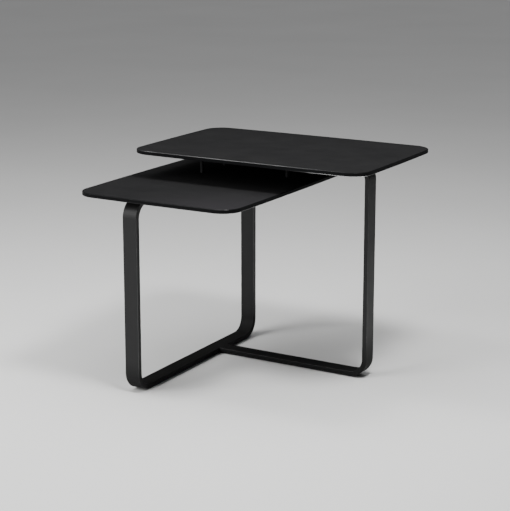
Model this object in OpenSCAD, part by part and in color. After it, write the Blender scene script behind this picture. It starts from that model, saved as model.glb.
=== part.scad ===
// Two-level side table: two thin tops at different heights on one welded flat-bar frame.
// The frame is a closed upright loop under the lower top and a C-shaped bar that rises
// beside it to carry the upper top. Round posts tie the two tops together.
// X runs from the loop to the side frame's leg, Y from front to back, Z up from the floor.

/* [Heights] */
// Height of the upper top's surface above the floor
table_h = 452; // [380:1:560]
// Clear height between the lower top's surface and the upper top's underside
level_gap = 50; // [34:1:110]

/* [Tops] */
// Thickness of both tops
top_t = 8; // [7:0.5:14]
// Chamfer along the upper and lower edges of both tops
top_chamfer = 1; // [0.4:0.1:2]
// Outward bow of the longer pair of sides of each top
long_bow = 3; // [1:0.5:10]
// Outward bow of the shorter pair of sides of each top
short_bow = 2; // [1:0.5:8]

/* [Upper top] */
// Overall width of the upper top, left to right
upper_w = 524; // [440:1:600]
// Overall depth of the upper top, front to back
upper_d = 336; // [240:1:400]
// Corner radius of the upper top
upper_corner_r = 40; // [20:1:60]
// Overhang of the upper top past the side frame's leg
upper_overhang = 59; // [20:1:90]

/* [Lower top] */
// Overall width of the lower top, left to right
lower_w = 357; // [300:1:400]
// Overhang of the lower top past the front and back of the loop frame
end_overhang = 18; // [4:1:60]
// Corner radius of the lower top
lower_corner_r = 40; // [20:1:60]
// Overhang of the lower top past the left face of the loop frame
lower_overhang = 103.5; // [60:0.5:150]

/* [Flat bar] */
// Width of the flat bar
bar_w = 32; // [24:1:40]
// Thickness of the flat bar
bar_t = 10; // [8:0.5:12]
// Outer radius of the bar's bends
bend_r = 38; // [28:1:50]
// Radius of the bar's four long edges
bar_edge_r = 1.2; // [0.4:0.1:2]
// Width of the butt welds that join the bars
weld_w = 2; // [1:0.5:4]

/* [Loop frame] */
// Length of the loop frame, front to back
loop_l = 454; // [400:1:520]

/* [Side frame] */
// Distance from the loop frame's right face to the leg's outer face
side_reach = 344; // [300:1:400]
// How far the side frame lies behind the middle of the loop frame
side_setback = 90; // [60:1:110]

/* [Posts] */
// Diameter of the round posts
post_d = 8; // [7:0.5:12]
// Distance between the two tall posts
post_pitch = 90; // [70:1:140]
// Distance from the loop frame's left face to the tall posts
post_inset = 10; // [8:0.5:16]
// Distance from the lower top's right edge to the end post
end_post_edge = 68.5; // [50:0.5:120]
// How far the side frame's top run reaches past the end post
run_past_post = 20; // [12:1:30]
// Depth of the threads in the ends of the posts
post_thread_l = 10; // [8:0.5:14]

/* [Fasteners] */
// Diameter of the screws and studs
screw_d = 4; // [3:0.5:5]
// Diameter of the countersunk heads
head_d = 7.5; // [7:0.5:10]
// Width across the flats of the hexagon sockets
socket_af = 2.5; // [2:0.5:3]
// Depth of the hexagon sockets
socket_depth = 1.4; // [1:0.1:2]
// Outer diameter of the threaded inserts
insert_d = 6.5; // [6:0.5:8]
// Length of the threaded inserts
insert_l = 6; // [4:0.5:6]
// Width of the groove round each insert
groove_w = 1; // [0.5:0.1:2]
// Depth of the groove round each insert
groove_depth = 0.3; // [0.1:0.05:0.4]
// Distance from the loop frame's front bend to the first top screw
top_screw_inset = 24; // [16:1:40]
// Distance from the side frame's upper bend to the first screw of its top run
run_screw_inset = 18; // [8:1:26]
// Distance between the two screws of the top run
run_screw_pitch = 48; // [30:1:60]

/* [Floor glides] */
// Diameter of the glides
glide_d = 20; // [16:1:24]
// Thickness of the glides' discs
glide_t = 2; // [1:0.5:4]
// Diameter of the glides' stems
glide_stem_d = 6; // [5:0.5:8]
// Length of the glides' stems
glide_stem_l = 5; // [4:0.5:6]
// Chamfer round the lower rim of the glides
glide_rim = 0.5; // [0.2:0.1:0.8]
// Distance from the ends of a straight floor bar to the middle of its glides
glide_inset = 18; // [14:1:40]

/* [Clearances] */
// Radial clearance of a screw in a through hole
hole_gap = 0.25; // [0.1:0.05:0.4]
// Radial clearance of a screw or stud in its thread
thread_gap = 0.05; // [0.02:0.01:0.1]
// Radial clearance of an insert or a glide stem in its pocket
press_gap = 0.02; // [0.01:0.01:0.05]
// Free depth past the end of a screw, stud or stem
end_gap = 0.5; // [0.3:0.1:1]

/* [Hidden] */
// Segments of a full circle
$fn = 64;
// Points along each bowed side
side_points = 14;
// Overrun that keeps cut faces apart
cut = 1;

// Heights, from the floor up
bar_z = glide_t;
upper_z = table_h - top_t;
lower_z = upper_z - level_gap - top_t;
loop_h = lower_z - bar_z;
side_h = upper_z - bar_z;

// Places in plan, from the loop frame's front left corner
loop_x = bar_w / 2;
loop_y = loop_l / 2;
side_y = loop_y + side_setback;
leg_x = bar_w + side_reach;
upper_x = leg_x + upper_overhang - upper_w / 2;
lower_x = lower_w / 2 - lower_overhang;
lower_d = loop_l + 2 * end_overhang;
end_post_x = lower_x + lower_w / 2 - end_post_edge;
top_run_l = leg_x - end_post_x + run_past_post;
tall_post_y = [side_y - post_pitch / 2, side_y + post_pitch / 2];

// The origin lies under the middle of the plan
plan_min = [min(lower_x - lower_w / 2, upper_x - upper_w / 2),
            min(loop_y - lower_d / 2, side_y - upper_d / 2)];
plan_max = [max(lower_x + lower_w / 2, upper_x + upper_w / 2),
            max(loop_y + lower_d / 2, side_y + upper_d / 2)];
plan_mid = (plan_min + plan_max) / 2;

// Fasteners
head_h = (head_d - screw_d) / 2;
hole_d = screw_d + 2 * hole_gap;
thread_d = screw_d + 2 * thread_gap;
top_screw_l = bar_t + insert_l - end_gap;
post_screw_l = bar_t + top_t + post_thread_l - end_gap;
run_screw_l = bar_t + post_thread_l - end_gap;
base_screw_l = top_t + post_thread_l - end_gap;
stud_l = post_thread_l + insert_l - 2 * end_gap;
first_screw_y = bend_r + top_screw_inset;
lower_screw_y = [first_screw_y, (first_screw_y + tall_post_y[0]) / 2, side_y];
last_screw_x = leg_x - bend_r - run_screw_inset;
run_screw_x = [last_screw_x - run_screw_pitch, last_screw_x];
loop_glide_y = [bend_r + glide_inset, loop_l - bend_r - glide_inset];
run_glide_x = [bar_w + weld_w + glide_inset, leg_x - bend_r - glide_inset];

frame_colour = [0.10, 0.10, 0.105];
top_colour = [0.15, 0.15, 0.16];
screw_colour = [0.22, 0.22, 0.23];
brass_colour = [0.72, 0.58, 0.30];
glide_colour = [0.06, 0.06, 0.06];

// Moves a piece from the loop frame's corner to the part's origin
module placed() {
    translate([-plan_mid[0], -plan_mid[1], 0]) children();
}

// ---------- flat bar ----------

// Cross-section of the bar: outer face on x = 0, material to its left, width along Y
module bar_section() {
    r = bar_edge_r;
    translate([-bar_t + r, -bar_w / 2]) square([bar_t - 2 * r, bar_w]);
    translate([-bar_t, -bar_w / 2 + r]) square([bar_t, bar_w - 2 * r]);
    for (x = [r - bar_t, -r], y = [r - bar_w / 2, bar_w / 2 - r])
        translate([x, y]) circle(r);
}

// Straight stretch along +Y from the origin, outer face on x = 0, width along Z
module bar_straight(length) {
    translate([0, length, 0]) rotate([90, 0, 0]) linear_extrude(length) bar_section();
}

// Quarter bend about the origin, from +X round to +Y
module bar_bend() {
    rotate_extrude(angle = 90) translate([bend_r, 0]) bar_section();
}

// Butt weld across the bar, dressed flush, in the place of a straight stretch
module bar_weld() {
    bar_straight(weld_w);
}

// ---------- tops ----------

// Strip between two bowed sides: length along X, breadth along Y at its middle
module bowed_strip(length, breadth, bow) {
    near = [for (i = [0:side_points]) let (t = 2 * i / side_points - 1)
            [t * length / 2, breadth / 2 - bow * t * t]];
    far = [for (i = [side_points:-1:0]) [near[i][0], -near[i][1]]];
    polygon(concat(near, far));
}

// Outline of a top: four bowed sides with round corners
module top_outline(w, d, corner_r) {
    bow_x = w > d ? long_bow : short_bow;
    bow_y = w > d ? short_bow : long_bow;
    offset(r = corner_r) offset(r = -corner_r) intersection() {
        bowed_strip(w, d, bow_x);
        rotate(90) bowed_strip(d, w, bow_y);
    }
}

// Plain top with chamfered edges, standing on z = 0
module top_blank(w, d, corner_r) {
    hull() {
        linear_extrude(top_t) offset(delta = -top_chamfer) top_outline(w, d, corner_r);
        translate([0, 0, top_chamfer])
            linear_extrude(top_t - 2 * top_chamfer) top_outline(w, d, corner_r);
    }
}

// ---------- fasteners ----------

// Countersunk screw that points up, its flat head on z = 0
module screw(length) {
    difference() {
        union() {
            cylinder(h = head_h, d1 = head_d, d2 = screw_d);
            cylinder(h = length, d = screw_d);
        }
        translate([0, 0, -cut])
            cylinder(h = socket_depth + cut, d = socket_af / cos(30), $fn = 6);
    }
}

// Clearance hole with its countersink, through a plate or bar that stands on z = 0
module screw_hole(depth) {
    translate([0, 0, -cut]) cylinder(h = depth + 2 * cut, d = hole_d);
    cylinder(h = head_h - hole_gap, d1 = head_d, d2 = hole_d);
}

// Threaded insert with a groove round its middle, mouth down on z = 0
module insert() {
    difference() {
        cylinder(h = insert_l, d = insert_d);
        translate([0, 0, -cut]) cylinder(h = insert_l + 2 * cut, d = thread_d);
        translate([0, 0, (insert_l - groove_w) / 2]) difference() {
            cylinder(h = groove_w, d = insert_d + 2 * cut);
            translate([0, 0, -cut]) cylinder(h = groove_w + 2 * cut, d = insert_d - 2 * groove_depth);
        }
    }
}

// Blind pocket for an insert in the underside of a top
module insert_pocket() {
    translate([0, 0, -cut]) cylinder(h = insert_l + cut, d = insert_d + 2 * press_gap);
}

// Round post with a thread in each end, standing on z = 0
module post(length) {
    difference() {
        cylinder(h = length, d = post_d);
        translate([0, 0, -cut]) cylinder(h = post_thread_l + cut, d = thread_d);
        translate([0, 0, length - post_thread_l]) cylinder(h = post_thread_l + cut, d = thread_d);
    }
}

// Blind bore for a glide's stem in the underside of a floor bar
module glide_bore() {
    translate([0, 0, -cut])
        cylinder(h = glide_stem_l + end_gap + cut, d = glide_stem_d + 2 * press_gap);
}

// ---------- sub-parts ----------

module upper_top() {
    color(top_colour) placed() difference() {
        translate([upper_x, side_y, upper_z]) top_blank(upper_w, upper_d, upper_corner_r);
        for (x = run_screw_x) translate([x, side_y, upper_z]) insert_pocket();
        for (y = tall_post_y) translate([post_inset, y, upper_z]) insert_pocket();
    }
}

module lower_top() {
    color(top_colour) placed() difference() {
        translate([lower_x, loop_y, lower_z]) top_blank(lower_w, lower_d, lower_corner_r);
        for (y = lower_screw_y) translate([loop_x, y, lower_z]) insert_pocket();
        for (y = tall_post_y)
            translate([post_inset, y, lower_z - cut]) cylinder(h = top_t + 2 * cut, d = hole_d);
        translate([end_post_x, side_y, lower_z]) screw_hole(top_t);
    }
}

// Closed loop in the YZ plane, with a gap in its top bar for the weld
module loop_frame() {
    top_half = (loop_l - 2 * bend_r - weld_w) / 2;
    bends = [[loop_l - bend_r, loop_h - bend_r], [bend_r, loop_h - bend_r],
             [bend_r, bend_r], [loop_l - bend_r, bend_r]];
    color(frame_colour) placed() difference() {
        translate([loop_x, 0, bar_z]) rotate([90, 0, 90]) {
            for (k = [0:3]) translate(bends[k]) rotate(90 * k) bar_bend();
            translate([loop_l, bend_r]) bar_straight(loop_h - 2 * bend_r);
            translate([loop_l - bend_r, loop_h]) rotate(90) bar_straight(top_half);
            translate([bend_r + top_half, loop_h]) rotate(90) bar_straight(top_half);
            translate([0, loop_h - bend_r]) rotate(180) bar_straight(loop_h - 2 * bend_r);
            translate([bend_r, 0]) rotate(270) bar_straight(loop_l - 2 * bend_r);
        }
        for (y = lower_screw_y) translate([loop_x, y, lower_z - bar_t]) screw_hole(bar_t);
        for (y = tall_post_y) translate([post_inset, y, lower_z - bar_t]) screw_hole(bar_t);
        for (y = loop_glide_y) translate([loop_x, y, bar_z]) glide_bore();
    }
}

// C-shaped bar in the XZ plane: foot run, leg and top run
module side_frame() {
    bends = [[leg_x - bend_r, side_h - bend_r], [leg_x - bend_r, bend_r]];
    foot_l = side_reach - weld_w - bend_r;
    color(frame_colour) placed() difference() {
        translate([0, side_y, bar_z]) rotate([90, 0, 0]) {
            translate([bar_w + weld_w, 0]) rotate(270) bar_straight(foot_l);
            translate(bends[1]) rotate(270) bar_bend();
            translate([leg_x, bend_r]) bar_straight(side_h - 2 * bend_r);
            translate(bends[0]) bar_bend();
            translate([leg_x - bend_r, side_h]) rotate(90) bar_straight(top_run_l - bend_r);
        }
        for (x = run_screw_x) translate([x, side_y, upper_z - bar_t]) screw_hole(bar_t);
        translate([end_post_x, side_y, upper_z]) rotate([180, 0, 0]) screw_hole(bar_t);
        for (x = run_glide_x) translate([x, side_y, bar_z]) glide_bore();
    }
}

module loop_weld() {
    color(frame_colour) placed() translate([loop_x, loop_y + weld_w / 2, lower_z])
        rotate([90, 0, 90]) rotate(90) bar_weld();
}

module base_weld() {
    color(frame_colour) placed() translate([bar_w, side_y, bar_z])
        rotate([90, 0, 0]) rotate(270) bar_weld();
}

module tall_post(y) {
    color(frame_colour) placed() translate([post_inset, y, lower_z + top_t]) post(level_gap);
}

module front_post() {
    tall_post(tall_post_y[0]);
}

module rear_post() {
    tall_post(tall_post_y[1]);
}

module end_post() {
    color(frame_colour) placed() translate([end_post_x, side_y, lower_z + top_t])
        post(level_gap - bar_t);
}

module post_screws() {
    color(screw_colour) placed() for (y = tall_post_y)
        translate([post_inset, y, lower_z - bar_t]) screw(post_screw_l);
}

module post_studs() {
    color(screw_colour) placed() for (y = tall_post_y)
        translate([post_inset, y, upper_z - post_thread_l + end_gap])
            cylinder(h = stud_l, d = screw_d);
}

module post_inserts() {
    color(brass_colour) placed() for (y = tall_post_y)
        translate([post_inset, y, upper_z]) insert();
}

module end_post_top_screw() {
    color(screw_colour) placed() translate([end_post_x, side_y, upper_z])
        rotate([180, 0, 0]) screw(run_screw_l);
}

module end_post_base_screw() {
    color(screw_colour) placed() translate([end_post_x, side_y, lower_z]) screw(base_screw_l);
}

module lower_top_screws() {
    color(screw_colour) placed() for (y = lower_screw_y)
        translate([loop_x, y, lower_z - bar_t]) screw(top_screw_l);
}

module lower_top_inserts() {
    color(brass_colour) placed() for (y = lower_screw_y)
        translate([loop_x, y, lower_z]) insert();
}

module upper_top_screws() {
    color(screw_colour) placed() for (x = run_screw_x)
        translate([x, side_y, upper_z - bar_t]) screw(top_screw_l);
}

module upper_top_inserts() {
    color(brass_colour) placed() for (x = run_screw_x)
        translate([x, side_y, upper_z]) insert();
}

// Glide: disc with a chamfered lower rim and a stem that goes up into the bar
module glide() {
    cylinder(h = glide_rim, d1 = glide_d - 2 * glide_rim, d2 = glide_d);
    translate([0, 0, glide_rim]) cylinder(h = glide_t - glide_rim, d = glide_d);
    cylinder(h = glide_t + glide_stem_l, d = glide_stem_d);
}

module floor_glides() {
    color(glide_colour) placed() {
        for (y = loop_glide_y) translate([loop_x, y, 0]) glide();
        for (x = run_glide_x) translate([x, side_y, 0]) glide();
    }
}

upper_top();
lower_top();
loop_frame();
side_frame();
loop_weld();
base_weld();
front_post();
rear_post();
end_post();
post_screws();
post_studs();
post_inserts();
end_post_top_screw();
end_post_base_screw();
lower_top_screws();
lower_top_inserts();
upper_top_screws();
upper_top_inserts();
floor_glides();
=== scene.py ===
# Two-level side table in matte black: a closed bar loop under the lower top, a C-shaped
# bar beside it that carries the upper top, and three round posts that tie the tops together.
# Lengths are in metres. X runs from the loop to the leg, Y from front to back, Z upwards.
import math

import bmesh
import bpy
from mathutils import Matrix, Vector


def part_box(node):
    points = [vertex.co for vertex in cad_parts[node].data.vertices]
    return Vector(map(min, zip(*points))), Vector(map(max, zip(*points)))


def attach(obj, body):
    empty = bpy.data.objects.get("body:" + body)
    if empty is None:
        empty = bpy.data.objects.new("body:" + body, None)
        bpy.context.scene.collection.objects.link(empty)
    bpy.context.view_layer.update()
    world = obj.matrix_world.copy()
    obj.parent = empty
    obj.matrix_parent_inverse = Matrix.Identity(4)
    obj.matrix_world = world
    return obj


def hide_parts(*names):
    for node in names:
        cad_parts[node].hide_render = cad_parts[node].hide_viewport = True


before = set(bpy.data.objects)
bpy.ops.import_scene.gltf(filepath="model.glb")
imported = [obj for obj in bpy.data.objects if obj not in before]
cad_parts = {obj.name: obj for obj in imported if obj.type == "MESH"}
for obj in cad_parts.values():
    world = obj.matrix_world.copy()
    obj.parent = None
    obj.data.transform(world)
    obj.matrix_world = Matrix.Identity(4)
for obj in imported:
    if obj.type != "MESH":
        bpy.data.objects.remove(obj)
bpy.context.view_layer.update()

# ---------- loop frame ----------
# One length of 32 x 10 mm steel flat bar, bent on the flat into an upright closed loop.
# Its ends meet in a ground butt weld under the lower top. It is drilled and countersunk
# from inside for the top's screws, and sprayed and baked in matte black powder coat.

MM = 0.001
BAR_WIDTH = 32 * MM
BAR_THICKNESS = 10 * MM
BAR_EDGE = 1.2 * MM
BEND_RADIUS = 38 * MM
BEND_STEPS = 24
WELD_WIDTH = 2 * MM
HOLE_STEPS = 48
HOLE_RADIUS = 2.25 * MM
HEAD_RADIUS = 3.75 * MM
SINK_DEPTH = 1.5 * MM
LOWER_SCREWS_FROM_FRONT = (62 * MM, 167 * MM, 317 * MM)
GLIDE_BORE_RADIUS = 3.02 * MM
GLIDE_BORE_DEPTH = 5.5 * MM
GLIDE_FROM_END = 56 * MM
FILED_INSET = 0.5 * MM
FILED_DEPTH = 0.4 * MM
FILED_RUB = 0.6
SHARP_ANGLE = math.radians(38)
COAT_BLACK = (0.0112, 0.0112, 0.0115, 1)
# Painted shade: the coat's colour near the floor.
COAT_PAINTED_SHADE = (0.0028, 0.0028, 0.0029, 1)
COAT_BARE_EDGE = (0.10, 0.10, 0.103, 1)
COAT_GRIT = 3200.0
MOTTLE_SHARE = 0.22
MOTTLE_LIGHTER = 1.5
DULLED_AND_SHADED_FULLY = 15 * MM
LOOP_DULLED_AND_SHADED = 75 * MM
DUST_GREY = (0.30, 0.29, 0.27, 1)

loop_low, loop_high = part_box("loop_frame")
front_post_low, front_post_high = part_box("front_post")
rear_post_low, rear_post_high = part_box("rear_post")
loop_x = (loop_low.x + loop_high.x) / 2
loop_middle = (loop_low.y + loop_high.y) / 2
post_x = (front_post_low.x + front_post_high.x) / 2
post_ys = [(front_post_low.y + front_post_high.y) / 2, (rear_post_low.y + rear_post_high.y) / 2]
lower_screw_ys = [loop_low.y + distance for distance in LOWER_SCREWS_FROM_FRONT]
loop_glide_ys = [loop_low.y + GLIDE_FROM_END, loop_high.y - GLIDE_FROM_END]

# A rounding takes at most this share of a side, and the flat beside it starts this many
# roundings from the corner.
LARGEST_SHARE = 0.42
FLAT_START = 1.18


def soften(corners, radius, steps=4, closed=False):
    """Rounds a line's corners. Each point becomes (a, b, how far it stands out to be rubbed)."""
    line = []
    count = len(corners)
    for k, corner in enumerate(corners):
        if not closed and k in (0, count - 1):
            line.append((corner[0], corner[1], 0.0))
            continue
        here = Vector(corner)
        before = Vector(corners[k - 1]) - here
        after = Vector(corners[(k + 1) % count]) - here
        reach = min(radius, LARGEST_SHARE * before.length, LARGEST_SHARE * after.length)
        start = here + before.normalized() * reach
        end = here + after.normalized() * reach
        flat_before = here + before.normalized() * reach * FLAT_START
        flat_after = here + after.normalized() * reach * FLAT_START
        line.append((flat_before.x, flat_before.y, 0.0))
        for s in range(steps + 1):
            t = s / steps
            point = start * (1 - t) ** 2 + here * 2 * t * (1 - t) + end * t ** 2
            line.append((point.x, point.y, math.sin(math.pi * t)))
        line.append((flat_after.x, flat_after.y, 0.0))
    return line


def new_shell():
    """An empty mesh with a layer that says how far each corner stands out to be rubbed."""
    shell = bmesh.new()
    shell.verts.layers.float.new("rub")
    return shell


def lay_ring(shell, points, rubs=None):
    """Adds the points as corners, each with its own rub or none."""
    layer = shell.verts.layers.float["rub"]
    ring = []
    for k, point in enumerate(points):
        vert = shell.verts.new(point)
        vert[layer] = rubs[k] if rubs else 0.0
        ring.append(vert)
    return ring


def join_rings(shell, first, second, open_sides=()):
    """Skins the band between two rings of equally many corners."""
    for k in range(len(first)):
        if k not in open_sides:
            n = (k + 1) % len(first)
            shell.faces.new((first[k], first[n], second[n], second[k]))


def fill_between(shell, *loops):
    """Closes the flat face that lies inside the first loop and outside the others."""
    edges = []
    for loop in loops:
        for k, vert in enumerate(loop):
            pair = (loop[k - 1], vert)
            edges.append(shell.edges.get(pair) or shell.edges.new(pair))
    bmesh.ops.triangle_fill(shell, use_beauty=True, edges=edges)


def circle(x, y, z, radius, steps=HOLE_STEPS):
    """The points of a level circle."""
    turns = [2 * math.pi * k / steps for k in range(steps)]
    return [(x + radius * math.cos(t), y + radius * math.sin(t), z) for t in turns]


def drill(shell, x, y, walls, blind=False):
    """Skins an upright hole whose walls are (radius, z) from its mouth to its end."""
    rings = [lay_ring(shell, circle(x, y, z, radius)) for radius, z in walls]
    for first, second in zip(rings, rings[1:]):
        join_rings(shell, first, second)
    if blind:
        shell.faces.new(rings[-1])
    return rings[0], rings[-1]


def bar_line(corners):
    """Stations along the outer face of a bent bar: (along, height, out_along, out_height)."""
    stations = []
    for k, corner in enumerate(corners):
        here = Vector(corner)
        if k in (0, len(corners) - 1):
            other = Vector(corners[1 if k == 0 else k - 1])
            run = (other - here if k == 0 else here - other).normalized()
            stations.append((*corner, -run.y, run.x))
            continue
        run_in = (here - Vector(corners[k - 1])).normalized()
        run_out = (Vector(corners[k + 1]) - here).normalized()
        centre = here - run_in * BEND_RADIUS + run_out * BEND_RADIUS
        out_in = Vector((-run_in.y, run_in.x))
        for s in range(BEND_STEPS + 1):
            turn = math.pi / 2 * s / BEND_STEPS
            out = out_in * math.cos(turn) + run_in * math.sin(turn)
            point = centre + out * BEND_RADIUS
            stations.append((point.x, point.y, out.x, out.y))
    return stations


BAR_SECTION = soften(
    [(0, -BAR_WIDTH / 2), (0, BAR_WIDTH / 2),
     (-BAR_THICKNESS, BAR_WIDTH / 2), (-BAR_THICKNESS, -BAR_WIDTH / 2)],
    BAR_EDGE, closed=True)
SIDE_POINTS = len(BAR_SECTION) // 4
OUTER_FLAT = SIDE_POINTS - 1
INNER_FLAT = 3 * SIDE_POINTS - 1


def sweep_bar(shell, stations, place, open_outer=(), open_inner=()):
    """Skins a bar along its stations. place() turns (along, across, height) into a point."""
    rings = []
    rubs = [rub for out, across, rub in BAR_SECTION]
    for along, height, out_along, out_height in stations:
        points = [place(along + out * out_along, across, height + out * out_height)
                  for out, across, rub in BAR_SECTION]
        rings.append(lay_ring(shell, points, rubs))
    for k, (first, second) in enumerate(zip(rings, rings[1:])):
        sides = [OUTER_FLAT] if k in open_outer else []
        sides += [INNER_FLAT] if k in open_inner else []
        join_rings(shell, first, second, sides)
    return rings


def flat_loop(rings, span, side):
    """The four corners of a wide flat face that the sweep left open."""
    n = (side + 1) % len(BAR_SECTION)
    return [rings[span][side], rings[span][n], rings[span + 1][n], rings[span + 1][side]]


def cap_bar(shell, ring, inward):
    """Closes a sawn bar end, with its edges broken by a file."""
    middle = sum((vert.co for vert in ring), Vector()) / len(ring)
    points = [vert.co + (middle - vert.co).normalized() * FILED_INSET - inward * FILED_DEPTH
              for vert in ring]
    end = lay_ring(shell, points, [FILED_RUB] * len(points))
    join_rings(shell, ring, end)
    shell.faces.new(end)


def finish_piece(shell, name, finishes, node):
    """Turns the shell into a piece that rides on the frame and stands for its CAD node."""
    bmesh.ops.recalc_face_normals(shell, faces=shell.faces[:])
    for face in shell.faces:
        face.smooth = True
    mesh = bpy.data.meshes.new(name)
    shell.to_mesh(mesh)
    shell.free()
    mesh.set_sharp_from_angle(angle=SHARP_ANGLE)
    for finish in finishes:
        mesh.materials.append(finish)
    piece = bpy.data.objects.new(name, mesh)
    bpy.context.scene.collection.objects.link(piece)
    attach(piece, "root")
    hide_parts(node)


def add_node(tree, kind, **settings):
    """Adds a shader node and sets its properties."""
    node = tree.nodes.new(kind)
    for key, value in settings.items():
        setattr(node, key, value)
    return node


def set_inputs(node, **values):
    """Sets inputs by name, written with _ for a space."""
    for key, value in values.items():
        node.inputs[key.replace("_", " ")].default_value = value
    return node


def new_effect(name, inputs, outputs):
    """A shader node group. inputs are (name, kind, default) and outputs (name, kind)."""
    tree = bpy.data.node_groups.new(name, "ShaderNodeTree")
    for label, kind, default in inputs:
        socket = tree.interface.new_socket(name=label, in_out="INPUT", socket_type=kind)
        if default is not None:
            socket.default_value = default
    for label, kind in outputs:
        tree.interface.new_socket(name=label, in_out="OUTPUT", socket_type=kind)
    return tree, add_node(tree, "NodeGroupInput"), add_node(tree, "NodeGroupOutput")


def use_effect(tree, effect, place, **values):
    """Places an effect in a material, with the material's own values."""
    node = add_node(tree, "ShaderNodeGroup", node_tree=effect)
    tree.links.new(place, node.inputs["Place"])
    return set_inputs(node, **values)


def noise(tree, place, scale, detail=2.0, roughness=0.5, distortion=0.0):
    """A noise texture. scale is a number or a socket."""
    node = add_node(tree, "ShaderNodeTexNoise")
    set_inputs(node, Detail=detail, Roughness=roughness, Distortion=distortion)
    tree.links.new(place, node.inputs["Vector"])
    if isinstance(scale, (int, float)):
        node.inputs["Scale"].default_value = scale
    else:
        tree.links.new(scale, node.inputs["Scale"])
    return node.outputs["Fac"]


def remap(tree, value, low, high, to_low=0.0, to_high=1.0, smooth=False):
    """Takes a value from the range low to high into the range to_low to to_high."""
    node = add_node(tree, "ShaderNodeMapRange")
    node.interpolation_type = "SMOOTHSTEP" if smooth else "LINEAR"
    set_inputs(node, From_Min=low, From_Max=high, To_Min=to_low, To_Max=to_high)
    tree.links.new(value, node.inputs["Value"])
    return node.outputs["Result"]


def combine(tree, operation, first, second):
    """Math on two values, each a number or a socket."""
    node = add_node(tree, "ShaderNodeMath", operation=operation)
    for k, value in enumerate((first, second)):
        if isinstance(value, (int, float)):
            node.inputs[k].default_value = value
        else:
            tree.links.new(value, node.inputs[k])
    return node.outputs[0]


def blend_colours(tree, mask, first, second):
    """Goes from the first colour to the second as the mask goes from 0 to 1."""
    node = add_node(tree, "ShaderNodeMix", data_type="RGBA")
    tree.links.new(mask, node.inputs[0])
    for k, colour in ((6, first), (7, second)):
        if isinstance(colour, tuple):
            node.inputs[k].default_value = colour
        else:
            tree.links.new(colour, node.inputs[k])
    return node.outputs[2]


def stretch(tree, place, x, y, z):
    """The coordinates scaled by x, y and z, so that a noise turns into streaks."""
    node = add_node(tree, "ShaderNodeMapping")
    node.inputs["Scale"].default_value = (x, y, z)
    tree.links.new(place, node.inputs["Vector"])
    return node.outputs["Vector"]


# Orange peel: the soft ripple and the fine grit that baked powder coat leaves.
peel_effect, ins, outs = new_effect(
    "orange peel",
    [("Place", "NodeSocketVector", None), ("Ripple Scale", "NodeSocketFloat", 420.0),
     ("Grit Scale", "NodeSocketFloat", 3200.0)],
    [("Height", "NodeSocketFloat"), ("Mottle", "NodeSocketFloat")])
ripple = noise(peel_effect, ins.outputs["Place"], ins.outputs["Ripple Scale"],
               detail=2.0, roughness=0.45, distortion=0.3)
grit = noise(peel_effect, ins.outputs["Place"], ins.outputs["Grit Scale"], detail=1.0)
peel_height = combine(peel_effect, "MULTIPLY_ADD", grit, 0.45)
peel_effect.links.new(ripple, peel_height.node.inputs[2])
peel_effect.links.new(peel_height, outs.inputs["Height"])
broad = noise(peel_effect, ins.outputs["Place"], 26.0, detail=4.0, roughness=0.55, distortion=0.4)
peel_effect.links.new(remap(peel_effect, broad, 0.32, 0.68), outs.inputs["Mottle"])

# Edge rub: coat polished and thinned where a hand or a cloth meets an edge.
rub_effect, ins, outs = new_effect(
    "edge rub",
    [("Place", "NodeSocketVector", None), ("Patch Scale", "NodeSocketFloat", 38.0),
     ("Reach", "NodeSocketFloat", 0.5)],
    [("Polish", "NodeSocketFloat"), ("Bare", "NodeSocketFloat")])
exposed = add_node(rub_effect, "ShaderNodeAttribute", attribute_name="rub").outputs["Fac"]
patches = noise(rub_effect, ins.outputs["Place"], ins.outputs["Patch Scale"], detail=3.0, roughness=0.6)
flecks = noise(rub_effect, ins.outputs["Place"], 340.0, detail=4.0, roughness=0.62, distortion=0.4)
worn = combine(rub_effect, "MULTIPLY", exposed, remap(rub_effect, patches, 0.44, 0.70, smooth=True))
polish = combine(rub_effect, "MULTIPLY", exposed, ins.outputs["Reach"])
rub_effect.links.new(polish, outs.inputs["Polish"])
bare = combine(rub_effect, "MULTIPLY", worn, remap(rub_effect, flecks, 0.46, 0.70, smooth=True))
rub_effect.links.new(combine(rub_effect, "MULTIPLY", bare, ins.outputs["Reach"]), outs.inputs["Bare"])

# Settled dust: a thin uneven veil on whatever faces up.
dust_effect, ins, outs = new_effect(
    "settled dust",
    [("Place", "NodeSocketVector", None), ("Amount", "NodeSocketFloat", 0.1)],
    [("Veil", "NodeSocketFloat")])
facing = add_node(dust_effect, "ShaderNodeNewGeometry").outputs["Normal"]
upright = add_node(dust_effect, "ShaderNodeSeparateXYZ")
dust_effect.links.new(facing, upright.inputs[0])
lying = remap(dust_effect, upright.outputs["Z"], 0.6, 1.0, smooth=True)
drift = noise(dust_effect, ins.outputs["Place"], 11.0, detail=5.0, roughness=0.6, distortion=0.5)
drift = remap(dust_effect, drift, 0.35, 0.72)
specks = noise(dust_effect, ins.outputs["Place"], 1500.0, detail=1.0)
specks = remap(dust_effect, specks, 0.60, 0.74)
veil = combine(dust_effect, "MULTIPLY_ADD", specks, 0.9)
dust_effect.links.new(drift, veil.node.inputs[2])
veil = combine(dust_effect, "MULTIPLY", veil, lying)
veil = combine(dust_effect, "MULTIPLY", veil, ins.outputs["Amount"])
dust_effect.links.new(veil, outs.inputs["Veil"])

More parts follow.
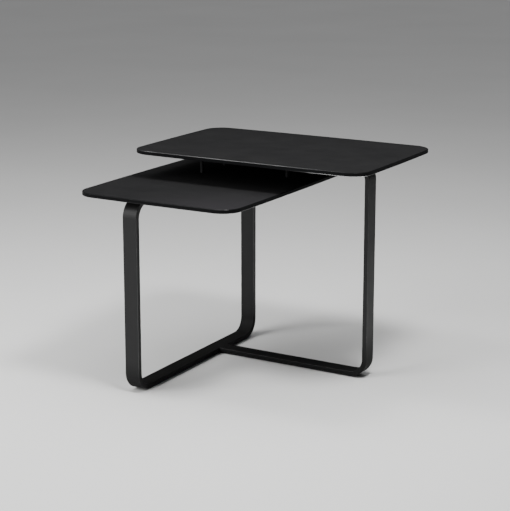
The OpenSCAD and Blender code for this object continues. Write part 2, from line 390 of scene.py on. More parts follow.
# Hairlines: faint straight marks from wiping, crossing at two angles.
hairline_effect, ins, outs = new_effect(
    "hairlines",
    [("Place", "NodeSocketVector", None), ("Amount", "NodeSocketFloat", 0.2)],
    [("Marks", "NodeSocketFloat")])
marks = []
for angle, scale in ((0.45, 60.0), (-1.05, 85.0)):
    turned = add_node(hairline_effect, "ShaderNodeMapping")
    turned.inputs["Rotation"].default_value = (0.0, 0.0, angle)
    turned.inputs["Scale"].default_value = (1.0, 28.0, 28.0)
    hairline_effect.links.new(ins.outputs["Place"], turned.inputs["Vector"])
    lines = noise(hairline_effect, turned.outputs["Vector"], scale,
                  detail=1.0, roughness=0.4, distortion=0.15)
    marks.append(remap(hairline_effect, lines, 0.70, 0.78))
marks = combine(hairline_effect, "MAXIMUM", *marks)
where = remap(hairline_effect, noise(hairline_effect, ins.outputs["Place"], 7.0), 0.45, 0.65)
marks = combine(hairline_effect, "MULTIPLY", marks, where)
marks = combine(hairline_effect, "MULTIPLY", marks, ins.outputs["Amount"])
hairline_effect.links.new(marks, outs.inputs["Marks"])


def new_material(name):
    """A material with its shader and the object's own coordinates, in metres."""
    material = bpy.data.materials.new(name)
    material.use_nodes = True
    tree = material.node_tree
    tree.nodes.clear()
    shader = add_node(tree, "ShaderNodeBsdfPrincipled")
    output = add_node(tree, "ShaderNodeOutputMaterial")
    tree.links.new(shader.outputs["BSDF"], output.inputs["Surface"])
    place = add_node(tree, "ShaderNodeTexCoord").outputs["Object"]
    return material, tree, shader, place


def bump(tree, height, depth, strength=1.0, under=None):
    """A bump whose height goes from 0 to depth in metres."""
    node = add_node(tree, "ShaderNodeBump")
    set_inputs(node, Strength=strength, Distance=depth)
    tree.links.new(height, node.inputs["Height"])
    if under is not None:
        tree.links.new(under, node.inputs["Normal"])
    return node.outputs["Normal"]


def powder_coat(name, colour, dulled_and_shaded_height, grit_scale=COAT_GRIT):
    """Matte black powder coat on steel, rougher and darkened by painted shade towards the floor, up to
    the given height.
    """
    material, tree, shader, place = new_material(name)
    peel = use_effect(tree, peel_effect, place, Grit_Scale=grit_scale)
    rub = use_effect(tree, rub_effect, place, Reach=0.9)
    dust = use_effect(tree, dust_effect, place, Amount=0.012)
    tone = remap(tree, peel.outputs["Mottle"], 0.0, 1.0, 0.0, MOTTLE_SHARE)
    lighter = tuple(part * MOTTLE_LIGHTER for part in colour[:3]) + (1,)
    body = blend_colours(tree, tone, colour, lighter)
    above_floor = add_node(tree, "ShaderNodeSeparateXYZ")
    tree.links.new(place, above_floor.inputs[0])
    dulled_and_shaded = remap(tree, above_floor.outputs["Z"], DULLED_AND_SHADED_FULLY, dulled_and_shaded_height, 1.0, 0.0, smooth=True)
    kept = remap(tree, dulled_and_shaded, 0.0, 1.0, 1.0, 0.25)
    polish = combine(tree, "MULTIPLY", rub.outputs["Polish"], kept)
    # Painted shade: the coat's colour is made darker towards the floor, where the tops shade the floor
    # bars. The same mask also makes the coat rougher there.
    body = blend_colours(tree, dulled_and_shaded, body, COAT_PAINTED_SHADE)
    bare = combine(tree, "MULTIPLY", rub.outputs["Bare"], kept)
    edged = blend_colours(tree, bare, body, COAT_BARE_EDGE)
    dusty = blend_colours(tree, dust.outputs["Veil"], edged, DUST_GREY)
    tree.links.new(dusty, shader.inputs["Base Color"])
    matte = remap(tree, peel.outputs["Mottle"], 0.0, 1.0, 0.42, 0.47)
    matte = combine(tree, "ADD", matte, combine(tree, "MULTIPLY", dulled_and_shaded, 0.30))
    smoother = remap(tree, polish, 0.0, 1.0, 0.0, 0.16)
    rough = combine(tree, "SUBTRACT", matte, smoother)
    rough = combine(tree, "ADD", rough, combine(tree, "MULTIPLY", dust.outputs["Veil"], 0.6))
    tree.links.new(rough, shader.inputs["Roughness"])
    tree.links.new(polish, shader.inputs["Coat Weight"])
    tree.links.new(bump(tree, peel.outputs["Height"], 0.05 * MM, 0.7), shader.inputs["Normal"])
    set_inputs(shader, Specular_IOR_Level=0.20, Coat_Roughness=0.16)
    return material


loop_coat = powder_coat("loop frame powder coat", COAT_BLACK, LOOP_DULLED_AND_SHADED)


def loop_point(along, across, height):
    """A point of the loop, whose bar runs along Y."""
    return (loop_x + across, along, height)


shell = new_shell()
loop_stations = bar_line([
    (loop_middle + WELD_WIDTH / 2, loop_high.z), (loop_high.y, loop_high.z),
    (loop_high.y, loop_low.z), (loop_low.y, loop_low.z),
    (loop_low.y, loop_high.z), (loop_middle - WELD_WIDTH / 2, loop_high.z)])
BACK_TOP, FLOOR_BAR, FRONT_TOP = [k * (BEND_STEPS + 1) for k in (0, 2, 4)]
rings = sweep_bar(shell, loop_stations, loop_point,
                  (BACK_TOP, FRONT_TOP, FLOOR_BAR), (BACK_TOP, FRONT_TOP))
cap_bar(shell, rings[0], Vector((0, 0, 0)))
cap_bar(shell, rings[-1], Vector((0, 0, 0)))
bar_underside = loop_high.z - BAR_THICKNESS
sink = [(HEAD_RADIUS, bar_underside), (HOLE_RADIUS, bar_underside + SINK_DEPTH),
        (HOLE_RADIUS, loop_high.z)]
spots = [(loop_x, y) for y in lower_screw_ys] + [(post_x, y) for y in post_ys]
for span, behind_weld in ((BACK_TOP, True), (FRONT_TOP, False)):
    holes = [drill(shell, x, y, sink) for x, y in spots if (y > loop_middle) == behind_weld]
    fill_between(shell, flat_loop(rings, span, INNER_FLAT), *[mouth for mouth, end in holes])
    fill_between(shell, flat_loop(rings, span, OUTER_FLAT), *[end for mouth, end in holes])
bore = [(GLIDE_BORE_RADIUS, loop_low.z), (GLIDE_BORE_RADIUS, loop_low.z + GLIDE_BORE_DEPTH)]
holes = [drill(shell, loop_x, y, bore, True) for y in loop_glide_ys]
fill_between(shell, flat_loop(rings, FLOOR_BAR, OUTER_FLAT), *[mouth for mouth, end in holes])
finish_piece(shell, "loop_frame_bar", [loop_coat], "loop_frame")

# ---------- side frame ----------
# A second length of the same bar, bent into a C: a foot run that starts at the loop's
# floor bar, the leg, and a top run that lies under the upper top and ends past the end
# post. Its free end is sawn square and filed.

SIDE_DULLED_AND_SHADED = 105 * MM
RUN_SCREWS_FROM_LEG = (104 * MM, 56 * MM)
RUN_PAST_POST = 20 * MM
FIRST_RUN_GLIDE = 18 * MM

side_low, side_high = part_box("side_frame")
end_post_low, end_post_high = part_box("end_post")
side_y = (side_low.y + side_high.y) / 2
end_post_x = (end_post_low.x + end_post_high.x) / 2
run_screw_xs = [side_high.x - distance for distance in RUN_SCREWS_FROM_LEG]
run_glide_xs = [side_low.x + FIRST_RUN_GLIDE, side_high.x - GLIDE_FROM_END]
run_end_x = end_post_x - RUN_PAST_POST


def side_point(along, across, height):
    """A point of the side frame, whose bar runs along X."""
    return (along, side_y + across, height)


side_coat = powder_coat("side frame powder coat", COAT_BLACK, SIDE_DULLED_AND_SHADED)
shell = new_shell()
side_stations = bar_line([
    (run_end_x, side_high.z), (side_high.x, side_high.z),
    (side_high.x, side_low.z), (side_low.x, side_low.z)])
TOP_RUN, FOOT_RUN = [k * (BEND_STEPS + 1) for k in (0, 2)]
rings = sweep_bar(shell, side_stations, side_point, (TOP_RUN, FOOT_RUN), (TOP_RUN,))
cap_bar(shell, rings[0], Vector((1, 0, 0)))
cap_bar(shell, rings[-1], Vector((0, 0, 0)))
run_underside = side_high.z - BAR_THICKNESS
from_below = [(HEAD_RADIUS, run_underside), (HOLE_RADIUS, run_underside + SINK_DEPTH),
              (HOLE_RADIUS, side_high.z)]
from_above = [(HOLE_RADIUS, run_underside), (HOLE_RADIUS, side_high.z - SINK_DEPTH),
              (HEAD_RADIUS, side_high.z)]
holes = [drill(shell, x, side_y, from_below) for x in run_screw_xs]
holes.append(drill(shell, end_post_x, side_y, from_above))
fill_between(shell, flat_loop(rings, TOP_RUN, INNER_FLAT), *[mouth for mouth, end in holes])
fill_between(shell, flat_loop(rings, TOP_RUN, OUTER_FLAT), *[end for mouth, end in holes])
holes = [drill(shell, x, side_y, bore, True) for x in run_glide_xs]
fill_between(shell, flat_loop(rings, FOOT_RUN, OUTER_FLAT), *[mouth for mouth, end in holes])
finish_piece(shell, "side_frame_bar", [side_coat], "side_frame")

# ---------- welds ----------
# Two butt welds: one closes the loop's top bar, and one joins the foot run to the loop's
# floor bar. They are ground almost flush, so only a low rippled crown shows in the coat.

BEAD_HALF = 1.9 * MM
BEAD_CROWN = 0.16 * MM
BEAD_RIPPLE = 0.07 * MM
BEAD_SINK = 0.06 * MM
BEAD_STEP = 0.45 * MM
BEAD_ROWS = 10
BEAD_RUB = 0.25
RIPPLE_TURN = 0.9
RIPPLE_LAG = 2.2


def even_outline(step):
    """The bar's section with a point about every step, each with its outward direction."""
    outline = []
    for k, (out, across, rub) in enumerate(BAR_SECTION):
        here = Vector((out, across))
        ahead = Vector(BAR_SECTION[(k + 1) % len(BAR_SECTION)][:2])
        pieces = max(1, round((ahead - here).length / step))
        for s in range(pieces):
            outline.append(here.lerp(ahead, s / pieces))
    dressed = []
    for k, here in enumerate(outline):
        along = outline[(k + 1) % len(outline)] - outline[k - 1]
        dressed.append((here, Vector((along.y, -along.x)).normalized()))
    return dressed


def lay_bead(name, middle, outer_z, place, flush_outside=False, upside_down=False):
    """A ground weld across a bar whose outer face is at outer_z."""
    shell = new_shell()
    outline = even_outline(BEAD_STEP)
    core = Vector((-BAR_THICKNESS / 2, 0))
    rows = []
    for row in range(BEAD_ROWS + 1):
        t = 2 * row / BEAD_ROWS - 1
        points = []
        for k, (here, out) in enumerate(outline):
            ripple = math.cos(RIPPLE_TURN * k + RIPPLE_LAG * t * t)
            raised = (BEAD_CROWN + BEAD_RIPPLE * ripple) * (1 - t * t) - BEAD_SINK
            if flush_outside and here.x > -BAR_EDGE:
                raised = -BEAD_SINK
            if out.dot(here - core) <= 0:
                out = -out
            point = here + out * raised
            height = outer_z - point.x if upside_down else outer_z + point.x
            points.append(place(middle + t * BEAD_HALF, point.y, height))
        rows.append(lay_ring(shell, points, [BEAD_RUB] * len(points)))
    for first, second in zip(rows, rows[1:]):
        join_rings(shell, first, second)
    shell.faces.new(rows[0])
    shell.faces.new(rows[-1])
    finish_piece(shell, name + "_bead", [loop_coat], name)


base_weld_low, base_weld_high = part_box("base_weld")
base_weld_x = (base_weld_low.x + base_weld_high.x) / 2
lay_bead("loop_weld", loop_middle, loop_high.z, loop_point, flush_outside=True)
lay_bead("base_weld", base_weld_x, side_low.z, side_point, upside_down=True)

# ---------- floor glides ----------
# Moulded black polyethylene discs whose stems are pressed into bores in the floor bars.
# The face on the floor has a dished middle, a moulded ring, and a scuffed rim.

GLIDE_RADIUS = 10 * MM
GLIDE_THICKNESS = 2 * MM
GLIDE_STEM = 3 * MM
GLIDE_STEM_LENGTH = 5 * MM
GLIDE_RIM = 0.5 * MM
DISH_RADIUS = 3.2 * MM
DISH_DEPTH = 0.35 * MM
DISH_SLOPE = 0.4 * MM
RING_INNER = 6.6 * MM
RING_OUTER = 7.5 * MM
RING_DEPTH = 0.2 * MM
GLIDE_SOFTENING = 0.22 * MM
PLASTIC_BLACK = (0.012, 0.012, 0.012, 1)
PLASTIC_GREY = (0.020, 0.020, 0.020, 1)
PLASTIC_SCUFFED = (0.11, 0.11, 0.11, 1)
ON_AXIS = 1e-7


def turn_piece(shell, x, y, line, steps=HOLE_STEPS):
    """Spins a line of (radius, z, rub) round an upright axis. Ends on the axis are closed."""
    rings = []
    for radius, z, rub in line:
        if radius > ON_AXIS:
            rings.append(lay_ring(shell, circle(x, y, z, radius, steps), [rub] * steps))
        else:
            rings.append(lay_ring(shell, [(x, y, z)]))
    for first, second in zip(rings, rings[1:]):
        if len(first) == len(second):
            join_rings(shell, first, second)
        else:
            tip, rim = (first[0], second) if len(first) == 1 else (second[0], first)
            for k in range(steps):
                shell.faces.new((tip, rim[k], rim[(k + 1) % steps]))
    return rings


glide_plastic, tree, shader, place = new_material("moulded polyethylene")
scuff = use_effect(tree, rub_effect, place, Reach=0.9, Patch_Scale=160.0)
skin = use_effect(tree, peel_effect, place, Ripple_Scale=900.0, Grit_Scale=5200.0)
dark = blend_colours(tree, skin.outputs["Mottle"], PLASTIC_BLACK, PLASTIC_GREY)
scuffed = blend_colours(tree, scuff.outputs["Bare"], dark, PLASTIC_SCUFFED)
tree.links.new(scuffed, shader.inputs["Base Color"])
tree.links.new(remap(tree, skin.outputs["Mottle"], 0.0, 1.0, 0.5, 0.64), shader.inputs["Roughness"])
tree.links.new(bump(tree, skin.outputs["Height"], 0.04 * MM), shader.inputs["Normal"])

glide_top = GLIDE_THICKNESS + GLIDE_STEM_LENGTH
glide_line = soften(
    [(0, DISH_DEPTH), (DISH_RADIUS, DISH_DEPTH), (DISH_RADIUS + DISH_SLOPE, 0),
     (RING_INNER, 0), (RING_INNER + RING_DEPTH, RING_DEPTH),
     (RING_OUTER - RING_DEPTH, RING_DEPTH), (RING_OUTER, 0),
     (GLIDE_RADIUS - GLIDE_RIM, 0), (GLIDE_RADIUS, GLIDE_RIM), (GLIDE_RADIUS, GLIDE_THICKNESS),
     (GLIDE_STEM, GLIDE_THICKNESS), (GLIDE_STEM, glide_top), (0, glide_top)],
    GLIDE_SOFTENING, 3)
shell = new_shell()
for x, y in [(loop_x, y) for y in loop_glide_ys] + [(x, side_y) for x in run_glide_xs]:
    turn_piece(shell, x, y, glide_line)
finish_piece(shell, "floor_glide_discs", [glide_plastic], "floor_glides")

# ---------- lower top ----------
# A thin board of compact laminate, black all through, cut to a bowed outline with round
# corners and chamfered along both edges. Its faces are pressed to a fine leathery matte,
# its edges are milled and polished. Brass inserts and the posts' holes are in it.

# Painted light lies on the lower top's face near its front right, and the chamfers' polish carries a
# painted sheen and painted highlights in the edge colour.
CHAMFER = 1 * MM
ARRIS = 0.3 * MM
CORNER_RADIUS = 40 * MM
LONG_BOW = 3 * MM
SHORT_BOW = 2 * MM
SIDE_STEPS = 28
CORNER_STEPS = 26
CORNER_FITS = 30
FACE_RIM = 3 * MM
CHAMFER_FROM = 0.1 * MM
CHAMFER_TO = 1.05 * MM
ARRIS_RUB = 0.15
INSERT_POCKET = 3.27 * MM
INSERT_DEPTH = 6 * MM
FACE_BLACK = (0.0128, 0.0128, 0.0132, 1)
FACE_GREY = (0.0150, 0.0150, 0.0154, 1)
# Painted light on the lower top's face near its front right.
FACE_PAINTED_LIGHT = (0.0212, 0.0203, 0.0221, 1)
PAINTED_LIGHT_CENTRE = (0.09, -0.30, 0.40)
PAINTED_LIGHT_NEAR = 40 * MM
PAINTED_LIGHT_FAR = 270 * MM
BETWEEN_TOPS = (415 * MM, 425 * MM)
HAIRLINE_GREY = (0.10, 0.10, 0.105, 1)
CORE_BLACK = (0.0055, 0.0055, 0.0058, 1)
CORE_LAYER = (0.0085, 0.0087, 0.0092, 1)
# Painted sheen and painted highlight colours for the polished chamfers.
EDGE_PAINTED_SHEEN = (0.045, 0.045, 0.046, 1)
EDGE_BARE = (0.10, 0.10, 0.102, 1)
EDGE_PAINTED_HIGHLIGHT = (0.60, 0.60, 0.605, 1)
EDGE_ABOVE = 0.03
EDGE_BELOW = 0.30
FRONT_CORNER_HIGHLIGHT_AND_RUB = 0.62
RIGHT_SIDE_HIGHLIGHT_AND_RUB = 0.60

lower_low, lower_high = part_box("lower_top")


def bowed_quarter(width, depth):
    """A quarter of a top's outline about its middle: (point, outward direction)."""
    half_w, half_d = width / 2, depth / 2
    bow_w = LONG_BOW if width > depth else SHORT_BOW
    bow_d = SHORT_BOW if width > depth else LONG_BOW

    def on_back(x):
        out = Vector((2 * bow_w * x / half_w ** 2, 1)).normalized()
        return Vector((x, half_d - bow_w * (x / half_w) ** 2)), out

    def on_side(y):
        out = Vector((1, 2 * bow_d * y / half_d ** 2)).normalized()
        return Vector((half_w - bow_d * (y / half_d) ** 2, y)), out

    x, y = half_w - CORNER_RADIUS, half_d - CORNER_RADIUS
    for _ in range(CORNER_FITS):
        back, back_out = on_back(x)
        side, side_out = on_side(y)
        centre = Vector((side.x - CORNER_RADIUS * side_out.x, back.y - CORNER_RADIUS * back_out.y))
        x = centre.x + CORNER_RADIUS * back_out.x
        y = centre.y + CORNER_RADIUS * side_out.y
    quarter = [on_side(y * k / SIDE_STEPS) for k in range(SIDE_STEPS)]
    first = math.atan2(side_out.y, side_out.x)
    last = math.atan2(back_out.y, back_out.x)
    for k in range(CORNER_STEPS):
        turn = first + (last - first) * k / CORNER_STEPS
        out = Vector((math.cos(turn), math.sin(turn)))
        quarter.append((centre + out * CORNER_RADIUS, out))
    quarter += [on_back(x * (1 - k / SIDE_STEPS)) for k in range(SIDE_STEPS)]
    return quarter


def top_outline(low, high):
    """The whole outline, anticlockwise, from the middle of the right side."""
    middle = (low + high).to_2d() / 2
    quarter = bowed_quarter(high.x - low.x, high.y - low.y)
    back_middle = (Vector((0, (high.y - low.y) / 2)), Vector((0, 1)))
    reversed_quarter = [back_middle] + quarter[:0:-1]
    whole = []
    for part, across, back in ((quarter, 1, 1), (reversed_quarter, -1, 1),
                               (quarter, -1, -1), (reversed_quarter, 1, -1)):
        flip = Vector((across, back))
        whole += [(middle + point * flip, out * flip) for point, out in part]
    return whole


def press_top(shell, low, high, polish_and_highlight, pockets, through):
    """Skins a top: pockets and through holes are drill() walls with their x and y.

    The given function says how far the upper and the lower chamfer are polished at a point, which also
    sets their painted sheen and painted highlight.
    """
    outline = top_outline(low, high)
    thick = high.z - low.z
    profile = soften(
        [(CHAMFER + FACE_RIM, thick), (CHAMFER, thick), (0, thick - CHAMFER), (0, CHAMFER),
         (CHAMFER, 0), (CHAMFER + FACE_RIM, 0)], ARRIS, 3)
    rings = []
    for inset, height, rub in profile:
        points = [(point.x - out.x * inset, point.y - out.y * inset, low.z + height)
                  for point, out in outline]
        rubs = [ARRIS_RUB * rub] * len(points)
        if CHAMFER_FROM < inset < CHAMFER_TO:
            rubs = [polish_and_highlight(point, out)[height < thick / 2] for point, out in outline]
        rings.append(lay_ring(shell, points, rubs))
    for k, (first, second) in enumerate(zip(rings, rings[1:])):
        before = len(shell.faces)
        join_rings(shell, first, second)
        shell.faces.ensure_lookup_table()
        if k not in (0, len(rings) - 2):
            for face in shell.faces[before:]:
                face.material_index = 1
    blind = [drill(shell, x, y, walls, True)[0] for x, y, walls in pockets]
    open_holes = [drill(shell, x, y, walls) for x, y, walls in through]
    fill_between(shell, rings[0], *[end for mouth, end in open_holes])
    fill_between(shell, rings[-1], *blind, *[mouth for mouth, end in open_holes])


laminate_face, tree, shader, place = new_material("laminate face")
peel = use_effect(tree, peel_effect, place, Ripple_Scale=760.0, Grit_Scale=2600.0)
dust = use_effect(tree, dust_effect, place, Amount=0.006)
hair = use_effect(tree, hairline_effect, place, Amount=0.22)
smudge = noise(tree, place, 16.0, detail=3.0, distortion=0.8)
smudge = remap(tree, smudge, 0.52, 0.70, smooth=True)
# Painted light: the lower top's face is made lighter around a point near its front right corner, fading
# with distance. The upper top is left out by its height.
away = add_node(tree, "ShaderNodeVectorMath", operation="DISTANCE")
tree.links.new(place, away.inputs[0])
away.inputs[1].default_value = PAINTED_LIGHT_CENTRE
above_floor = add_node(tree, "ShaderNodeSeparateXYZ")
tree.links.new(place, above_floor.inputs[0])
painted_light = remap(tree, away.outputs["Value"], PAINTED_LIGHT_NEAR, PAINTED_LIGHT_FAR, 1.0, 0.0, smooth=True)
on_lower = remap(tree, above_floor.outputs["Z"], *BETWEEN_TOPS, 1.0, 0.0)
painted_light = combine(tree, "MULTIPLY", painted_light, on_lower)
cloud = blend_colours(tree, peel.outputs["Mottle"], FACE_BLACK, FACE_GREY)
cloud = blend_colours(tree, painted_light, cloud, FACE_PAINTED_LIGHT)
marked = blend_colours(tree, hair.outputs["Marks"], cloud, HAIRLINE_GREY)
dusty = blend_colours(tree, dust.outputs["Veil"], marked, DUST_GREY)
tree.links.new(dusty, shader.inputs["Base Color"])
matte = remap(tree, peel.outputs["Mottle"], 0.0, 1.0, 0.66, 0.70)
matte = combine(tree, "SUBTRACT", matte, combine(tree, "MULTIPLY", smudge, 0.035))
matte = combine(tree, "ADD", matte, combine(tree, "MULTIPLY", dust.outputs["Veil"], 0.7))
tree.links.new(matte, shader.inputs["Roughness"])
leather = noise(tree, place, 1150.0, detail=3.0, roughness=0.55, distortion=0.6)
grain = bump(tree, leather, 0.035 * MM, 0.8)
scored = bump(tree, hair.outputs["Marks"], -0.02 * MM, 0.6, grain)
tree.links.new(scored, shader.inputs["Normal"])
set_inputs(shader, Specular_IOR_Level=0.025)

laminate_edge, tree, shader, place = new_material("laminate milled edge")
passes = noise(tree, stretch(tree, place, 6.0, 6.0, 2600.0), 1.0, roughness=0.6)
rub = use_effect(tree, rub_effect, place, Reach=0.7, Patch_Scale=24.0)
layers = blend_colours(tree, remap(tree, passes, 0.35, 0.65), CORE_BLACK, CORE_LAYER)
# Painted sheen and highlight: where the edge is polished its colour is made lighter, and the most
# polished places are painted pale as a highlight line. The polish also sets the coat's gloss.
edged = blend_colours(tree, rub.outputs["Polish"], layers, EDGE_PAINTED_SHEEN)
edged = blend_colours(tree, rub.outputs["Bare"], edged, EDGE_BARE)
painted_highlight = remap(tree, rub.outputs["Polish"], 0.70, 0.96, smooth=True)
edged = blend_colours(tree, painted_highlight, edged, EDGE_PAINTED_HIGHLIGHT)
tree.links.new(edged, shader.inputs["Base Color"])
satin = remap(tree, passes, 0.3, 0.7, 0.32, 0.44)
satin = combine(tree, "SUBTRACT", satin, combine(tree, "MULTIPLY", rub.outputs["Polish"], 0.12))
tree.links.new(satin, shader.inputs["Roughness"])
tree.links.new(bump(tree, passes, 0.012 * MM, 0.8), shader.inputs["Normal"])
tree.links.new(rub.outputs["Polish"], shader.inputs["Coat Weight"])
set_inputs(shader, Specular_IOR_Level=0.015, Coat_Roughness=0.16)


def ramp(value, low, high):
    """0 up to low, 1 from high, and a straight line between them."""
    return min(1.0, max(0.0, (value - low) / (high - low)))


def lower_top_polish_and_highlight(point, out):
    """Polish with painted sheen and highlight: slight along the sides, more at the front corner above
    and along the right side below.
    """
    corner = ramp(out.x, 0.02, 0.25) * ramp(-out.y, 0.70, 0.95)
    above = EDGE_ABOVE + FRONT_CORNER_HIGHLIGHT_AND_RUB * corner
    below = EDGE_BELOW + RIGHT_SIDE_HIGHLIGHT_AND_RUB * ramp(out.x, 0.3, 0.7)
    return above, below


insert_pocket = [(INSERT_POCKET, lower_low.z), (INSERT_POCKET, lower_low.z + INSERT_DEPTH)]
plain_hole = [(HOLE_RADIUS, lower_low.z), (HOLE_RADIUS, lower_high.z)]
sunk_hole = [(HEAD_RADIUS, lower_low.z), (HOLE_RADIUS, lower_low.z + SINK_DEPTH),
             (HOLE_RADIUS, lower_high.z)]
shell = new_shell()
press_top(shell, lower_low, lower_high, lower_top_polish_and_highlight,
          [(loop_x, y, insert_pocket) for y in lower_screw_ys],
          [(post_x, y, plain_hole) for y in post_ys] + [(end_post_x, side_y, sunk_hole)])
finish_piece(shell, "lower_top_board", [laminate_face, laminate_edge], "lower_top")

# ---------- posts ----------
# Three 8 mm round steel bars, turned to length, with a small chamfer and a threaded bore
# in each end, powder coated like the frame. Two tall ones stand between the tops, and a
# shorter one between the lower top and the side frame's top run.

POST_RADIUS = 4 * MM
POST_CHAMFER = 0.35 * MM
POST_BORE = 2.05 * MM
POST_BORE_DEPTH = 10 * MM
POST_SOFTENING = 0.1 * MM
POST_BLACK = (0.028, 0.028, 0.029, 1)
POST_GRIT = 3600.0

post_coat = powder_coat("post powder coat", POST_BLACK, LOOP_DULLED_AND_SHADED, POST_GRIT)
for node in ("front_post", "rear_post", "end_post"):
    low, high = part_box(node)
    line = soften(
        [(0, low.z + POST_BORE_DEPTH), (POST_BORE, low.z + POST_BORE_DEPTH), (POST_BORE, low.z),
         (POST_RADIUS - POST_CHAMFER, low.z), (POST_RADIUS, low.z + POST_CHAMFER),
         (POST_RADIUS, high.z - POST_CHAMFER), (POST_RADIUS - POST_CHAMFER, high.z),
         (POST_BORE, high.z), (POST_BORE, high.z - POST_BORE_DEPTH), (0, high.z - POST_BORE_DEPTH)],
        POST_SOFTENING, 2)
    shell = new_shell()
    turn_piece(shell, (low.x + high.x) / 2, (low.y + high.y) / 2, line)
    finish_piece(shell, node + "_rod", [post_coat], node)

# ---------- screws ----------
# Countersunk machine screws of black-oxide steel with hexagon sockets. Five hold the tops
# to the frame, two pass through the loop and the lower top into the tall posts, and the
# end post has one from below and one from above.

THREAD_RADIUS = 2.0 * MM
THREAD_ROOT = 1.72 * MM
THREAD_PITCH = 0.7 * MM
THREAD_CREST_RUB = 0.3
HEAD_HEIGHT = 1.75 * MM
HEAD_LAND = 0.25 * MM
HEAD_EDGE = 0.05 * MM
HEAD_EDGE_DEPTH = 0.12 * MM
HEAD_SOFTENING = 0.1 * MM
SOCKET_SIDES = 6
SOCKET_FLATS = 2.5 * MM
SOCKET_DEPTH = 1.4 * MM
SOCKET_CHAMFER = 0.12 * MM
SOCKET_TIP_DEPTH = 0.35 * MM
SOCKET_TIP_RADIUS = 0.3 * MM
SOCKET_MOUTH_RUB = 0.5
SOCKET_LIP_RUB = 0.8
TOP_SCREW = 15.5 * MM
POST_SCREW = 27.5 * MM
END_SCREW_BELOW = 17.5 * MM
END_SCREW_ABOVE = 19.5 * MM
OXIDE_BLACK = (0.030, 0.029, 0.031, 1)
OXIDE_BROWN = (0.055, 0.050, 0.048, 1)
STEEL_BARE = (0.34, 0.33, 0.32, 1)

oxide_steel, tree, shader, place = new_material("black oxide steel")
rub = use_effect(tree, rub_effect, place, Reach=0.8, Patch_Scale=300.0)
skin = use_effect(tree, peel_effect, place, Ripple_Scale=1800.0, Grit_Scale=6000.0)
oxide = blend_colours(tree, skin.outputs["Mottle"], OXIDE_BLACK, OXIDE_BROWN)
bright = blend_colours(tree, rub.outputs["Bare"], oxide, STEEL_BARE)
tree.links.new(bright, shader.inputs["Base Color"])
tree.links.new(remap(tree, skin.outputs["Mottle"], 0.0, 1.0, 0.34, 0.48), shader.inputs["Roughness"])
tree.links.new(remap(tree, rub.outputs["Bare"], 0.0, 1.0, 0.75, 1.0), shader.inputs["Metallic"])
tree.links.new(bump(tree, skin.outputs["Height"], 0.01 * MM), shader.inputs["Normal"])


def add_screw(shell, x, y, base, length, down):
    """A screw whose flat head is at base and that points up, or down."""
    way = -1 if down else 1
    line = soften(
        [(HEAD_RADIUS - HEAD_LAND, 0), (HEAD_RADIUS - HEAD_EDGE, HEAD_EDGE_DEPTH),
         (THREAD_RADIUS, HEAD_HEIGHT), (THREAD_RADIUS, HEAD_HEIGHT + THREAD_PITCH)],
        HEAD_SOFTENING, 2)
    z = HEAD_HEIGHT + THREAD_PITCH
    while z < length - 1.5 * THREAD_PITCH:
        line.append((THREAD_ROOT, z + 0.35 * THREAD_PITCH, 0.0))
        line.append((THREAD_RADIUS, z + 0.85 * THREAD_PITCH, THREAD_CREST_RUB))
        line.append((THREAD_RADIUS, z + THREAD_PITCH, THREAD_CREST_RUB))
        z += THREAD_PITCH
    line += [(THREAD_ROOT, length, 0.0), (0, length, 0.0)]
    placed = [(radius, base + way * height, rub) for radius, height, rub in line]
    rings = turn_piece(shell, x, y, placed)
    across = SOCKET_FLATS / math.sqrt(3)
    levels = ((0, across + SOCKET_CHAMFER, SOCKET_MOUTH_RUB), (SOCKET_CHAMFER, across, SOCKET_LIP_RUB),
              (SOCKET_DEPTH, across, 0.0), (SOCKET_DEPTH + SOCKET_TIP_DEPTH, SOCKET_TIP_RADIUS, 0.0))
    socket = []
    for depth, radius, rub in levels:
        corners = circle(x, y, base + way * depth, radius, SOCKET_SIDES)
        socket.append(lay_ring(shell, corners, [rub] * SOCKET_SIDES))
    for first, second in zip(socket, socket[1:]):
        join_rings(shell, first, second)
    shell.faces.new(socket[-1])
    fill_between(shell, rings[0], socket[0])


lower_spots = [(loop_x, y) for y in lower_screw_ys]
upper_spots = [(x, side_y) for x in run_screw_xs]
post_spots = [(post_x, y) for y in post_ys]
end_spots = [(end_post_x, side_y)]
for name, node, places, base, length, down in (
        ("lower_top_screw_set", "lower_top_screws", lower_spots, bar_underside, TOP_SCREW, False),
        ("upper_top_screw_set", "upper_top_screws", upper_spots, run_underside, TOP_SCREW, False),
        ("post_screw_pair", "post_screws", post_spots, bar_underside, POST_SCREW, False),
        ("end_post_screw_below", "end_post_base_screw", end_spots, lower_low.z, END_SCREW_BELOW, False),
        ("end_post_screw_above", "end_post_top_screw", end_spots, side_high.z, END_SCREW_ABOVE, True)):
    shell = new_shell()
    for x, y in places:
        add_screw(shell, x, y, base, length, down)
    finish_piece(shell, name, [oxide_steel], node)

# ---------- studs and inserts ----------
# Headless steel studs join the tall posts to brass inserts in the upper top. The other
# inserts take the tops' screws. All of them are pressed or screwed in out of sight.

BRASS_BRIGHT = (0.60, 0.42, 0.17, 1)
BRASS_TARNISHED = (0.42, 0.27, 0.11, 1)

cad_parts["post_studs"].data.materials[0] = oxide_steel

